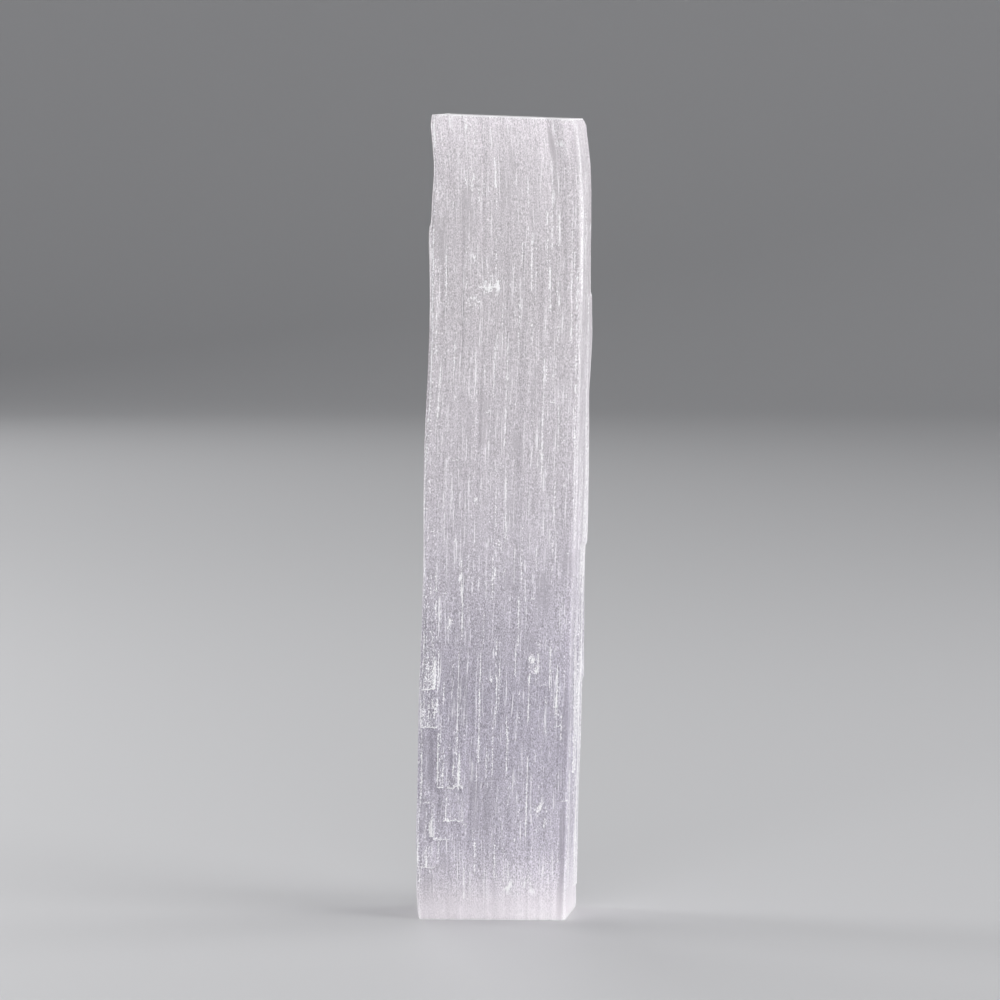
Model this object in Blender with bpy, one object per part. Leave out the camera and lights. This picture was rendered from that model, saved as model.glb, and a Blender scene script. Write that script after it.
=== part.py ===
"""Selenite wand: an upright bar of satin spar, the fibrous kind of gypsum.

The bar is one natural piece. It was split along its fibres on its four long faces and sawn across at
both ends. +Z runs up the fibres, the broad front face looks along -Y, and the wand stands on its sawn
base at z = 0. Lengths are in metres.
"""

import math
import random
from collections import namedtuple

import bmesh
import bpy
from mathutils import Matrix, Vector, noise

MM = 0.001

# Driving dimensions. An edge is a list of (height, place) points along one of the bar's outlines.
HEIGHT = 199.7 * MM
TOP_FALL = 0.036  # the sawn top drops this much for each unit to the right
LEFT_SLANT = 1.2 * MM  # the back edge of the left face stands this far right of its front edge
RIGHT_SLANT = 1.7 * MM
FRONT_LEFT_X = (
    (0, -19.3), (4, -19.75), (16, -19.65), (40, -18.95), (60, -18.8), (67, -18.3), (92, -17.8),
    (112, -17.35), (140, -16.15), (158, -15.9), (177, -15.75), (186, -15.2), (199.7, -16.0),
)
BACK_RIGHT_X = (
    (0, 19.5), (12, 19.8), (55, 20.9), (75, 21.15), (86, 21.55), (92, 21.75), (112, 22.45),
    (135, 23.2), (165, 23.35), (181, 23.4), (192, 22.75), (199.7, 21.6),
)
FRONT_Y = ((0, -14.0), (45, -13.7), (100, -14.1), (150, -13.8), (199.7, -13.3))
BACK_Y = ((0, 14.0), (60, 14.3), (110, 13.7), (160, 13.9), (199.7, 13.2))

# The long faces, in the order met when going round the bar anticlockwise from above
FACES = ("front", "right", "back", "left")
COLUMNS = {"front": 30, "right": 20, "back": 27, "left": 20}  # fibre ridges and furrows on each face
RELIEF = {"front": 0.18 * MM, "right": 0.50 * MM, "back": 0.36 * MM, "left": 0.48 * MM}
RIDGE_RUN = 34 * MM  # a ridge swells and fades over about this length
CORNER_CUT = 0.7 * MM
CORNER_WEAR = 0.55 * MM  # the deepest chips along the four long corners
WEAR_RUN = 11 * MM
BASE_WEAR = 0.12 * MM  # how far the rims of the sawn ends are crumbled away at most
TOP_WEAR = 0.35 * MM
TOP_CORNER_WEAR = 0.55 * MM
END_RIM = 1.3 * MM
TOP_RIM = HEIGHT - 2.9 * MM  # the last level that runs square across; the sawn top slants above it
LEVEL_STEP = 7.2 * MM
LEDGE_FALL = 0.25 * MM  # the height over which a broken lamella drops to the fibres below it
LEDGE_RAGGED = 0.9 * MM  # the fibres of one break end this far above or below each other
LEDGE_CLEARANCE = 2.2 * MM  # no plain level lies this near a ledge
BAND_DEPTH = 0.22 * MM  # broad, faint hollows and swells that take in several ridges
BAND_RUN = 70 * MM
BANDS = 3.1  # how many bands lie side by side on a face
BAND_MIDDLE = 0.4  # the share of a band's noise that lies above the flat face
FADE_IN = 2.5  # a lamella has its full thickness over all but the last 1 / 2.5 of its length
SEED = 7

# Where each kind of relief is read from the noise, so that no two kinds share a pattern
RIDGE_SEED = 0.5
COLUMN_SPACING = 3.7
FACE_SPACING = 4.3
WEAR_SEED = 2.5
WEAR_SPACING = 5.3
RAGGED_SEED = 7.5
RAGGED_SPACING = 2.3

# A lamella is a thin layer of fibres still on the face. It ends square at its break and thins out
# towards its fade. Its left and right are shares of the face's width, its other values millimetres.
Lamella = namedtuple("Lamella", "face left right break_z fade_z thickness")
LAMELLAE = (
    Lamella("front", 0.00, 0.11, 47.8, 66, 0.50),
    Lamella("front", 0.10, 0.17, 33.0, 60, 0.45),
    Lamella("front", 0.20, 0.31, 33.0, 46, 0.40),
    Lamella("front", 0.14, 0.33, 24.3, 33, 0.40),
    Lamella("front", 0.08, 0.22, 20.0, 31, 0.35),
    Lamella("front", 0.00, 0.12, 12.9, 32, 0.40),
    Lamella("front", 0.93, 1.00, 29.8, 58, 0.30),
    Lamella("right", 0.45, 1.00, 58.4, 82, 0.38),
    Lamella("right", 0.30, 1.00, 92.2, 128, 0.42),
    Lamella("right", 0.55, 1.00, 154.0, 134, 0.35),
    Lamella("right", 0.20, 0.85, 184.5, 168, 0.40),
    Lamella("back", 0.06, 0.30, 150.0, 186, 0.75),
    Lamella("back", 0.42, 0.58, 104.0, 66, 0.60),
    Lamella("back", 0.70, 1.00, 41.5, 88, 0.80),
    Lamella("left", 0.10, 0.52, 120.0, 78, 0.70),
    Lamella("left", 0.55, 1.00, 171.5, 156, 0.40),
)

# A furrow runs down from the top, near the right of the front face
FURROW_SHARE = 0.82
FURROW_HALF_WIDTH = 0.075
FURROW_DEPTH = 0.80 * MM
FURROW_FOOT = 164 * MM

BODY_COLOUR = (0.62, 0.58, 0.63, 1.0)
BODY_ROUGHNESS = 0.42

Column = namedtuple("Column", "face share crest wear index")


def smooth(t):
    t = min(max(t, 0.0), 1.0)
    return t * t * (3 - 2 * t)


def place_on(edge, z):
    """The edge's place at this height, on a smooth curve through its points."""
    points = [(height * MM, place * MM) for height, place in edge]
    i = max(k for k in range(len(points) - 1) if points[k][0] <= z or k == 0)
    slopes = [(b[1] - a[1]) / (b[0] - a[0]) for a, b in zip(points, points[1:])]
    enter = (slopes[max(i - 1, 0)] + slopes[i]) / 2
    leave = (slopes[i] + slopes[min(i + 1, len(slopes) - 1)]) / 2
    (z0, p0), (z1, p1) = points[i], points[i + 1]
    run = z1 - z0
    t = min((z - z0) / run, 1.0)
    ends = p0 * (1 + 2 * t) * (1 - t) ** 2 + p1 * (3 - 2 * t) * t * t
    return ends + run * (enter * t * (1 - t) ** 2 - leave * t * t * (1 - t))


def corners_at(z):
    """The section's four corners at this height, each one where a face of FACES begins."""
    left, right = place_on(FRONT_LEFT_X, z), place_on(BACK_RIGHT_X, z)
    front, back = place_on(FRONT_Y, z), place_on(BACK_Y, z)
    return (
        Vector((left, front)),
        Vector((right - RIGHT_SLANT, front)),
        Vector((right, back)),
        Vector((left + LEFT_SLANT, back)),
    )


def columns_round_the_bar():
    """The fibre columns of every face, unevenly spaced, each with the height of its crest."""
    draw = random.Random(SEED)
    columns = []
    for face in FACES:
        widths = [draw.uniform(0.5, 1.5) for _ in range(COLUMNS[face] - 1)]
        for k in range(COLUMNS[face]):
            share = sum(widths[:k]) / sum(widths)
            crest = draw.uniform(-1.0, 0.0)
            columns.append(Column(face, share, crest, draw.uniform(0.2, 1.0), len(columns)))
    return columns


def lamella_relief(face, share, z):
    """How far the lamellae raise the face here."""
    raised = 0.0
    for lamella in LAMELLAE:
        run = (lamella.fade_z * MM - z) / ((lamella.fade_z - lamella.break_z) * MM)
        if face == lamella.face and lamella.left <= share <= lamella.right and 0 <= run <= 1 + 1e-6:
            raised += lamella.thickness * MM * min(1.0, FADE_IN * run)
    return raised


def furrow_relief(share, z):
    """How deep the furrow cuts into the front face here. It deepens towards the top."""
    across = min(abs(share - FURROW_SHARE) / FURROW_HALF_WIDTH, 1.0)
    up = smooth((z - FURROW_FOOT) / (HEIGHT - FURROW_FOOT))
    return -FURROW_DEPTH * math.cos(across * math.pi / 2) * up


def relief(column, z):
    """How far out of the flat face the surface stands on this column, at this height."""
    face_number = FACES.index(column.face)
    ridge = noise.noise(Vector((column.index * COLUMN_SPACING, RIDGE_SEED, z / RIDGE_RUN)))
    band = noise.noise(Vector((column.share * BANDS, face_number * FACE_SPACING, z / BAND_RUN)))
    out = RELIEF[column.face] * (column.crest + ridge) + BAND_DEPTH * (band - BAND_MIDDLE)
    out += lamella_relief(column.face, column.share, z)
    if column.face == "front":
        out += furrow_relief(column.share, z)
    on_corner = column.share in (0.0, 1.0)
    if on_corner:
        chip = noise.noise(Vector((column.index * WEAR_SPACING, z / WEAR_RUN, WEAR_SEED)))
        out -= CORNER_WEAR * max(0.0, chip)
    if z <= 0:
        out -= column.wear * BASE_WEAR
    if z >= HEIGHT:
        out -= TOP_CORNER_WEAR if on_corner else column.wear * TOP_WEAR
    return out


def surface_point(column, z):
    """The point of the wand's surface on this column, at this height. The last level is the sawn top."""
    corners = corners_at(z)
    k = FACES.index(column.face)
    start, end = corners[k], corners[(k + 1) % 4]
    along = (end - start).normalized()
    outward = Vector((along.y, -along.x))
    reach = CORNER_CUT + column.share * ((end - start).length - 2 * CORNER_CUT)
    point = start + reach * along + relief(column, z) * outward
    if z >= HEIGHT:
        z -= TOP_FALL * (point.x - corners[0].x)
    elif END_RIM < z < TOP_RIM:
        jag = Vector((column.index * RAGGED_SPACING, RAGGED_SEED, z / LEDGE_CLEARANCE))
        z += LEDGE_RAGGED * noise.noise(jag)
    return Vector((point.x, point.y, z))


def levels():
    """The heights of the wand's rings: two at each lamella's break, and plain ones between them."""
    breaks = set()
    for lamella in LAMELLAE:
        side = 1 if lamella.fade_z > lamella.break_z else -1
        breaks |= {lamella.break_z * MM, lamella.break_z * MM - side * LEDGE_FALL}
    rims = {END_RIM, TOP_RIM}
    plain = {k * LEVEL_STEP for k in range(1, int(HEIGHT / LEVEL_STEP))}
    kept = {z for z in plain if min(abs(z - other) for other in breaks | rims) > LEDGE_CLEARANCE}
    return sorted({0.0, HEIGHT} | rims | breaks | kept)


def wand_mesh():
    """A cylinder with one facet for each fibre column, cut at every level and set on the surface."""
    columns, heights = columns_round_the_bar(), levels()
    turn = math.tau / len(columns)
    bm = bmesh.new()
    bmesh.ops.create_cone(
        bm, cap_ends=True, segments=len(columns), radius1=1, radius2=1, depth=HEIGHT,
        matrix=Matrix.Translation((0, 0, HEIGHT / 2)),
    )
    for z in heights[1:-1]:
        everything = bm.verts[:] + bm.edges[:] + bm.faces[:]
        bmesh.ops.bisect_plane(bm, geom=everything, plane_co=(0, 0, z), plane_no=(0, 0, 1), dist=1e-7)
    for vert in bm.verts:
        column = columns[round(math.atan2(vert.co.y, vert.co.x) / turn) % len(columns)]
        z = min(heights, key=lambda height: abs(height - vert.co.z))
        vert.co = surface_point(column, z)
    stand_on_the_origin(bm)
    mesh = bpy.data.meshes.new("wand")
    bm.to_mesh(mesh)
    bm.free()
    return mesh


def stand_on_the_origin(bm):
    """Moves the wand so that the middle of its outline is over the origin."""
    for axis in (0, 1):
        places = [vert.co[axis] for vert in bm.verts]
        middle = (min(places) + max(places)) / 2
        for vert in bm.verts:
            vert.co[axis] -= middle


def satin_spar():
    """Pale grey-lilac fibrous gypsum, with a silky sheen and light going a little way in."""
    material = bpy.data.materials.new("satin_spar")
    material.use_nodes = True
    shader = material.node_tree.nodes["Principled BSDF"]
    shader.inputs["Base Color"].default_value = BODY_COLOUR
    shader.inputs["Roughness"].default_value = BODY_ROUGHNESS
    shader.inputs["Metallic"].default_value = 0.0
    shader.inputs["IOR"].default_value = 1.52
    shader.inputs["Subsurface Weight"].default_value = 0.5
    shader.inputs["Subsurface Scale"].default_value = 4 * MM
    return material


def main():
    for obj in list(bpy.data.objects):
        bpy.data.objects.remove(obj)
    collection = bpy.data.collections.new("selenite_wand")
    bpy.context.scene.collection.children.link(collection)
    wand = bpy.data.objects.new("wand", wand_mesh())
    wand.data.materials.append(satin_spar())
    collection.objects.link(wand)


main()
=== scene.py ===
import math
from collections import namedtuple

import bpy
import numpy as np
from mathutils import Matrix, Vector, noise
from mathutils.bvhtree import BVHTree


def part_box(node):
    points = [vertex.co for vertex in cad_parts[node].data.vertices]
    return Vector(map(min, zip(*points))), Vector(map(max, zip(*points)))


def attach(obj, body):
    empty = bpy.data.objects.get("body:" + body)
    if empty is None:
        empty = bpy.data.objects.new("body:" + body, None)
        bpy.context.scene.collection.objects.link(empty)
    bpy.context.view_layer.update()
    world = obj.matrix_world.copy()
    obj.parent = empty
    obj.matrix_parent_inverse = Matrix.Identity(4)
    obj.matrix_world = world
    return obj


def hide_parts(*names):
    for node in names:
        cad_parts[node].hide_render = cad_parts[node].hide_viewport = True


# The looks of a selenite wand: one upright bar of satin spar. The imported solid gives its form. Here it
# gets a finer skin of the same form, with fibres, split layers and crumbled rims, and its milky material.
# Lengths are in metres, and MM turns millimetres into them.

MM = 0.001
SEED = 20

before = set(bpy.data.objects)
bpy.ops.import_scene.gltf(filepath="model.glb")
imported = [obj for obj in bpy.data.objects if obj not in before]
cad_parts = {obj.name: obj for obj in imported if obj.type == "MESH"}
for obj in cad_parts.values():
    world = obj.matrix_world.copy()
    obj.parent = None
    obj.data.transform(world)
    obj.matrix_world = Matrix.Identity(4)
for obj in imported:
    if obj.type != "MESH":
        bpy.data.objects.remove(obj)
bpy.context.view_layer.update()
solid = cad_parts["wand"]
LOW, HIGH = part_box("wand")

# The skin is a grid of fibre columns, which go round the bar, and of levels, which go up it.
FACES = ("front", "right", "back", "left")
OUTWARD = {"front": (0, -1), "right": (1, 0), "back": (0, 1), "left": (-1, 0)}
FACE_COLUMNS = {"front": 108, "right": 60, "back": 84, "left": 56}
CORNER_STEPS = 9  # the steps from a face's last column to the corner beside it
CORE_INSET = 3.0 * MM  # the columns are cast outwards from a core this far inside the faces
LEVEL_STEP = 0.84 * MM
RIM_LEVELS = (0.0, 0.06 * MM, 0.18 * MM, 0.36 * MM, 0.62 * MM)
END_ZONE = 8 * MM  # the levels tilt over this height to meet the slanting sawn top
CAST_MARGIN = 0.08 * MM  # no ray is cast nearer than this to the sawn ends
SPINE_SMOOTHING = 28 * MM
TOP_GAP = 2.2 * MM  # the faces are measured no nearer than this to the bar's highest point
UPWARD = 0.95  # a facet belongs to the sawn top if its normal rises this much
TOP_ZONE = 0.9  # and if it is above this share of the height

# Fibre relief on the skin: how wide and how long its ridges are, and how high
FIBRES = (
    (3.0 * MM, 40 * MM, 0.035 * MM),
    (1.2 * MM, 22 * MM, 0.028 * MM),
    (0.62 * MM, 11 * MM, 0.032 * MM),
    (0.62 * MM, 2.2 * MM, 0.016 * MM),
)
SPARE_ROWS = 4  # rows of cells that the noise has beyond the bar's height

# The faces other than the front are split more coarsely, in ridges whose crests are worn white: how wide,
# long and high they are, and their whiteness
Ridges = namedtuple("Ridges", "width length height whiteness")
RIDGES = {
    "right": Ridges(2.4 * MM, 45 * MM, 0.12 * MM, 0.50),
    "back": Ridges(1.1 * MM, 26 * MM, 0.08 * MM, 0.42),
    "left": Ridges(1.1 * MM, 26 * MM, 0.08 * MM, 0.42),
}
RIDGE_FADE = 1.5 * MM  # they fade out over this distance from the bar's long corners
CREST_STEEPNESS = 2  # how quickly the white of a crest sets in

# A flake is a thin layer of fibres on a face, with one broken end. Its break and its fade are heights in
# millimetres, its left and right are shares of the face's width. Lip and worn say how white its broken
# end and the rest of it are.
Flake = namedtuple("Flake", "face left right break_z fade_z thickness lip worn")
FLAKES = (
    Flake("front", 0.103, 0.150, 33.0, 66, 0.12, 1.00, 0.38),
    Flake("front", 0.180, 0.282, 32.6, 36, 0.16, 1.00, 0.55),
    Flake("front", 0.225, 0.268, 33.4, 46, 0.12, 0.80, 0.42),
    Flake("front", 0.153, 0.298, 24.6, 30, 0.10, 1.00, 0.20),
    Flake("front", 0.063, 0.098, 20.9, 31, 0.12, 1.00, 0.62),
    Flake("front", 0.090, 0.199, 20.0, 25, 0.09, 1.00, 0.20),
    Flake("front", 0.035, 0.056, 13.2, 21, 0.10, 1.00, 0.62),
    Flake("front", 0.010, 0.105, 12.9, 17, 0.10, 0.90, 0.00),
    Flake("front", 0.000, 0.105, 47.8, 64, 0.14, 0.90, 0.46),
    Flake("front", 0.012, 0.082, 57.4, 86, 0.16, 0.95, 0.58),
    Flake("front", 0.070, 0.105, 51.5, 58, 0.10, 0.95, 0.50),
    Flake("front", 0.945, 1.000, 29.7, 36, 0.08, 1.00, 0.00),
    Flake("front", 0.865, 0.895, 53.0, 63, 0.07, 0.80, 0.45),
    Flake("front", 0.300, 0.420, 157.0, 159.5, 0.07, 0.85, 0.30),
    Flake("right", 0.250, 0.520, 36.0, 124, 0.25, 0.90, 0.56),
    Flake("right", 0.700, 1.020, 6.0, 168, 0.20, 0.90, 0.60),
    Flake("right", 0.050, 0.180, 8.0, 96, 0.15, 0.90, 0.50),
    Flake("right", 0.620, 0.700, 150.0, 196, 0.15, 0.90, 0.42),
    Flake("back", 0.120, 0.230, 61.0, 96, 0.20, 1.00, 0.45),
    Flake("back", 0.230, 0.290, 58.5, 74, 0.14, 1.00, 0.52),
    Flake("back", 0.520, 0.640, 141.0, 118, 0.18, 1.00, 0.42),
    Flake("back", 0.700, 0.760, 33.0, 58, 0.14, 1.00, 0.50),
    Flake("back", 0.860, 0.930, 88.0, 132, 0.16, 0.90, 0.48),
    Flake("left", 0.100, 0.260, 104.0, 146, 0.20, 0.95, 0.46),
    Flake("left", 0.560, 0.700, 27.0, 52, 0.18, 1.00, 0.48),
    Flake("left", 0.440, 0.520, 72.0, 96, 0.14, 0.95, 0.44),
)
RANDOM_FLAKES = {"front": 50, "right": 60, "back": 80, "left": 50}
FLAKE_WIDTH = (0.4 * MM, 2.4 * MM)
FLAKE_NARROWING = (0.3, 1.0)
FLAKE_LEFT = (-0.02, 1.0)
FLAKE_LENGTH = (3 * MM, 18 * MM)
FLAKE_THICKNESS = (0.03 * MM, 0.12 * MM)
FLAKE_LIP = (0.3, 0.9)
FLAKE_WORN = (0.0, 0.3)
BREAKS_FROM = 10  # the lowest random break, in millimetres
ENDS_CLEAR = 2  # no random break or bruise is nearer than this to a sawn end, in millimetres
BREAKS_BELOW = 0.75  # the share of random flakes whose broken end is the lower one
FADE_SPREAD = (0.4, 1.0)  # the share of its length that a flake reaches on each of its columns
WORN_SPREAD = (0.6, 1.15)  # how much its whiteness differs from column to column
FADE_STEEPNESS = 2.5  # how quickly a flake gains its thickness from its faded end, and its whiteness
WORN_STEEPNESS = 2
BREAK_RAGGED = 0.14 * MM  # how far a broken end strays up or down
RAGGED_RUN = 3  # columns that stray together
BREAK_FALL = 0.08 * MM  # the ledge at a break takes up this much height outside the flake
BREAK_EDGE = 0.01 * MM  # and this much of the flake itself
LIP = 0.34 * MM  # the height over which a broken end is crushed white
LEAST_STEP = 0.02 * MM  # the least height between two levels

# A split is a white line between fibres: face, share of its width, lower and upper height in
# millimetres, and whiteness.
Split = namedtuple("Split", "face share low_z high_z whiteness")
SPLITS = (
    Split("front", 0.254, 69, 85, 1.00),
    Split("front", 0.236, 38, 70, 0.90),
    Split("front", 0.250, 34, 42, 0.90),
    Split("front", 0.377, 36, 70, 0.80),
    Split("front", 0.397, 68, 78, 0.70),
    Split("front", 0.622, 67, 82, 0.80),
    Split("front", 0.606, 61, 68, 0.80),
    Split("front", 0.700, 48, 62, 1.00),
    Split("front", 0.711, 19, 42, 1.00),
    Split("front", 0.755, 62, 67, 0.90),
    Split("front", 0.837, 56, 69, 0.90),
    Split("front", 0.884, 50, 64, 0.90),
    Split("front", 0.074, 74, 88, 0.80),
    Split("front", 0.103, 55, 69, 0.80),
    Split("front", 0.172, 24.6, 31, 0.95),
    Split("front", 0.370, 31, 37, 0.80),
    Split("front", 0.369, 10, 21, 0.80),
    Split("front", 0.298, 4, 14, 0.95),
    Split("front", 0.507, 9, 20, 0.80),
    Split("front", 0.436, 0, 13, 0.70),
    Split("front", 0.602, 11, 14.5, 0.85),
    Split("front", 0.654, 155, 171, 1.00),
    Split("front", 0.416, 150, 191, 0.60),
    Split("front", 0.082, 152, 169, 0.90),
    Split("front", 0.835, 166, 176, 0.70),
    Split("front", 0.925, 140, 176, 0.75),
    Split("front", 0.955, 96, 170, 0.70),
    Split("front", 0.502, 115, 147, 0.90),
    Split("front", 0.750, 104, 143, 0.80),
    Split("front", 0.062, 122, 139, 0.75),
    Split("front", 0.145, 134, 145, 0.75),
    Split("front", 0.530, 91, 112, 0.75),
    Split("front", 0.462, 95, 108, 0.65),
    Split("front", 0.590, 83, 94, 0.75),
    Split("front", 0.850, 116, 129, 0.75),
    Split("front", 0.838, 89, 110, 0.65),
    Split("front", 0.106, 33, 47.5, 0.95),
    Split("front", 0.490, 50, 62, 0.80),
    Split("front", 0.565, 33, 50, 0.70),
    Split("front", 0.470, 32, 51, 0.70),
    Split("front", 0.430, 34, 45, 0.65),
    Split("front", 0.920, 44, 52, 0.80),
    Split("front", 0.838, 179, 185, 0.90),
    Split("front", 0.410, 181, 190, 0.85),
)
RANDOM_SPLITS = {"front": 110, "right": 90, "back": 110, "left": 70}
SPLIT_LENGTH = (3 * MM, 26 * MM)
SPLIT_SHORTENING = (0.3, 1.0)
SPLIT_WHITENESS = (0.3, 0.8)
SPLITS_FROM = -5  # the lowest start of a split, in millimetres
SPLIT_DEPTH = 0.04 * MM
SPLIT_DRIFT = 0.03  # how far it strays sideways from one level to the next, in columns
SPLIT_BROKEN = (0.62, 1.0)  # how much its whiteness differs along it
SPLIT_RUN = 2  # levels that are equally white
SPLIT_TAPER = 4  # how quickly its ends come up to full whiteness

# A bruise is a patch where the surface is crushed white, and a few paint a sheen of light instead: face,
# share, height and radius in millimetres, whiteness.
Bruise = namedtuple("Bruise", "face share z radius whiteness")
BRUISES_AND_SHEEN = (
    Bruise("front", 0.37, 157.7, 1.9, 0.72),
    Bruise("front", 0.43, 157.3, 1.4, 0.72),
    Bruise("front", 0.27, 164.0, 1.1, 0.75),
    Bruise("front", 0.27, 153.5, 1.6, 0.65),
    Bruise("front", 0.24, 184.0, 2.2, 0.55),
    Bruise("front", 0.23, 196.0, 1.6, 0.55),
    # These three are a painted highlight: the bright sheen along the furrow's edge near the top
    Bruise("front", 0.86, 196.5, 1.2, 0.60),
    Bruise("front", 0.875, 192.0, 1.4, 0.70),
    Bruise("front", 0.895, 187.0, 1.3, 0.60),
    Bruise("front", 0.715, 64.8, 1.3, 0.72),
    Bruise("front", 0.745, 62.5, 1.6, 0.62),
    Bruise("front", 0.815, 58.4, 0.4, 1.00),
    Bruise("front", 0.165, 74.0, 1.2, 0.75),
    Bruise("front", 0.81, 28.0, 2.0, 0.60),
    Bruise("front", 0.82, 24.5, 1.6, 0.55),
    Bruise("front", 0.60, 8.6, 2.4, 0.66),
    Bruise("front", 0.72, 9.4, 2.0, 0.66),
    Bruise("front", 0.755, 7.2, 1.8, 0.62),
    Bruise("front", 0.65, 6.4, 1.8, 0.60),
    Bruise("front", 0.24, 85.0, 0.6, 0.90),
)
RANDOM_BRUISES = {"front": 26, "right": 24, "back": 34, "left": 24}
BRUISE_RADIUS = (0.4, 1.7)
BRUISE_WHITENESS = (0.3, 0.65)
BRUISE_STRETCH = 1.6  # how much longer than wide it is
BRUISE_REACH = 1.25  # where it ends, in radii
BRUISE_GAIN = 1.2
BRUISE_DEPTH = 0.05 * MM
CRUMB = (0.5 * MM, 0.9 * MM)  # how wide and long its crumbs are
CRUMB_WHITE = (0.6, 0.8)  # how white its crumbs are: on the whole, and how much that differs
CRUMB_DEPTH = 0.5

# A calm is a greyer patch with hardly any fibres or grains, where the layer above has come off whole; in
# recesses and in the furrow its grey is also painted shade. Face, left and right as shares of its width,
# lower and upper height in millimetres, and strength.
Calm = namedtuple("Calm", "face left right low_z high_z strength")
CALMS = (
    # The recess at the left edge: its grey is partly painted shade
    Calm("front", -0.03, 0.090, 33.5, 47.0, 0.50),
    Calm("front", 0.025, 0.100, 6.0, 12.3, 0.40),
    # The recess beside the right corner, from the foot up: its grey is partly painted shade
    Calm("front", 0.925, 0.985, 0.5, 12.0, 1.00),
    Calm("front", 0.925, 0.985, 10.0, 29.0, 0.85),
    Calm("front", 0.930, 0.985, 31.0, 58.0, 0.40),
    # The furrow near the top: its grey is partly painted shade in its hollow
    Calm("front", 0.785, 0.840, 189.0, 196.5, 1.00),
    Calm("front", 0.800, 0.850, 179.0, 191.0, 0.60),
    Calm("front", 0.940, 1.030, 185.0, 197.0, 0.60),
    Calm("front", 0.650, 0.735, 66.0, 72.0, 0.55),
    Calm("front", 0.440, 0.540, 176.0, 186.0, 0.35),
)
RANDOM_CALMS = {"front": 22, "right": 12, "back": 24, "left": 16}
CALM_LEFT = (-0.1, 1)
CALM_FROM = 8  # the lowest calm, and how far below the top the highest one starts, in millimetres
CALM_TOP = 10
CALM_WIDTH = (0.03, 0.12)
CALM_LENGTH = (4, 16)
CALM_STRENGTH = (0.3, 0.7)
CALM_EDGE = 0.7 * MM
CALM_RAGGED = (1.0 * MM, 5 * MM)  # how wide and long the raggedness of its edge is
CALM_SIDE_RAG = 0.5
CALM_END_RAG = 3  # its ends are more ragged and softer than its sides, this many times

FOOT = 12 * MM  # the bar's sawn foot, whose faces are smoother, is about this high
FOOT_RELIEF = 0.3  # the share of the fibre relief that is left at the base
FLAT_FOOT = 16 * MM  # below this height the right face loses its ridges towards the base
FLAT_BETWEEN = (0.06, 0.92)  # it is flat between these shares of its width
CHIPS = (1.1 * MM, 60 * MM)  # how wide and long the chips of the rims are
CHIP_WEAR = (0.45, 0.9)  # how much of the wear is there between chips, and how much a chip adds
BASE_RIM_WEAR = 0.07 * MM  # how far the rims of the sawn ends are rounded in
TOP_RIM_WEAR = 0.22 * MM
BASE_RIM_GLOW = 0.35 * MM  # how far the crushed white of the sawn rims reaches
TOP_RIM_GLOW = 0.50 * MM
# Whiteness along the four long corners, partly crushed edges and partly a painted highlight of the rim
# light they catch, and how far it reaches: on the very edge, and beside it
CORNER_GLOWS = ((0.80, 0.30 * MM), (0.28, 2.4 * MM))
GLOW_GRAIN = (0.4 * MM, 5 * MM)
GLOW_UNEVEN = 0.25

# The sawn ends. Their rings close in on a short ridge in the middle, at these shares of the way.
MIDDLE_RIDGE = 5 * MM  # half the length of that ridge
TOP_RINGS = (0.02, 0.06, 0.13, 0.24, 0.38, 0.55, 0.72, 0.88)
BASE_RINGS = (0.05, 0.5)
TOP_WHITENESS = (0.85, 0.35)  # from the rim to the middle
BASE_WHITENESS = 0.5
SAW_RELIEF = 0.035 * MM
SawGrain = namedtuple("SawGrain", "cell layer share")
SAW_GRAINS = (SawGrain(0.8 * MM, 3.0, 0.8), SawGrain(3.5 * MM, 9.0, 0.9))
SAW_CENTRE = (0.11, -0.05)  # the middle of the saw's arcs
SAW_STEP = 1.3 * MM
SAW_ARCS = 0.35
SHARP_ANGLE = math.radians(50)

random_numbers = np.random.default_rng(SEED)


def smooth(t):
    """A soft step from 0 to 1."""
    t = np.clip(t, 0.0, 1.0)
    return t * t * (3 - 2 * t)


# The solid's form

tree = BVHTree.FromPolygons(
    [v.co for v in solid.data.vertices], [p.vertices for p in solid.data.polygons]
)


def top_plane():
    """The sawn top as a + b * x + c * y, fitted to the solid's upward faces."""
    points = []
    for face in solid.data.polygons:
        if face.normal.z > UPWARD and face.center.z > TOP_ZONE * HIGH.z:
            points += [solid.data.vertices[v].co for v in face.vertices]
    points = np.array(points)
    sides = np.column_stack([np.ones(len(points)), points[:, 0], points[:, 1]])
    return np.linalg.lstsq(sides, points[:, 2], rcond=None)[0]


TOP = top_plane()


def top_height(x, y):
    return TOP[0] + TOP[1] * x + TOP[2] * y


def form_lines(levels):
    """Where the four faces stand at each level, smoothed so that the fibres run in gentle curves."""
    middle = (LOW + HIGH) / 2
    lines = {}
    for face in FACES:
        direction = Vector((*OUTWARD[face], 0))
        reach = []
        for z in levels:
            height = min(max(z, CAST_MARGIN), HIGH.z - TOP_GAP)
            hit = tree.ray_cast(Vector((middle.x, middle.y, height)), direction)[0]
            reach.append(hit.dot(direction))
        lines[face] = running_line(np.array(reach), levels, SPINE_SMOOTHING)
    return lines


def running_line(values, places, width):
    """The values smoothed by a straight line through those within half a width of each place."""
    smoothed = []
    for place in places:
        near = np.abs(places - place) <= width / 2
        line = np.polyfit(places[near], values[near], 1)
        smoothed.append(np.polyval(line, place))
    return np.array(smoothed)


# The grid's columns and levels

Column = namedtuple("Column", "face core_share start turn")


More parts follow.
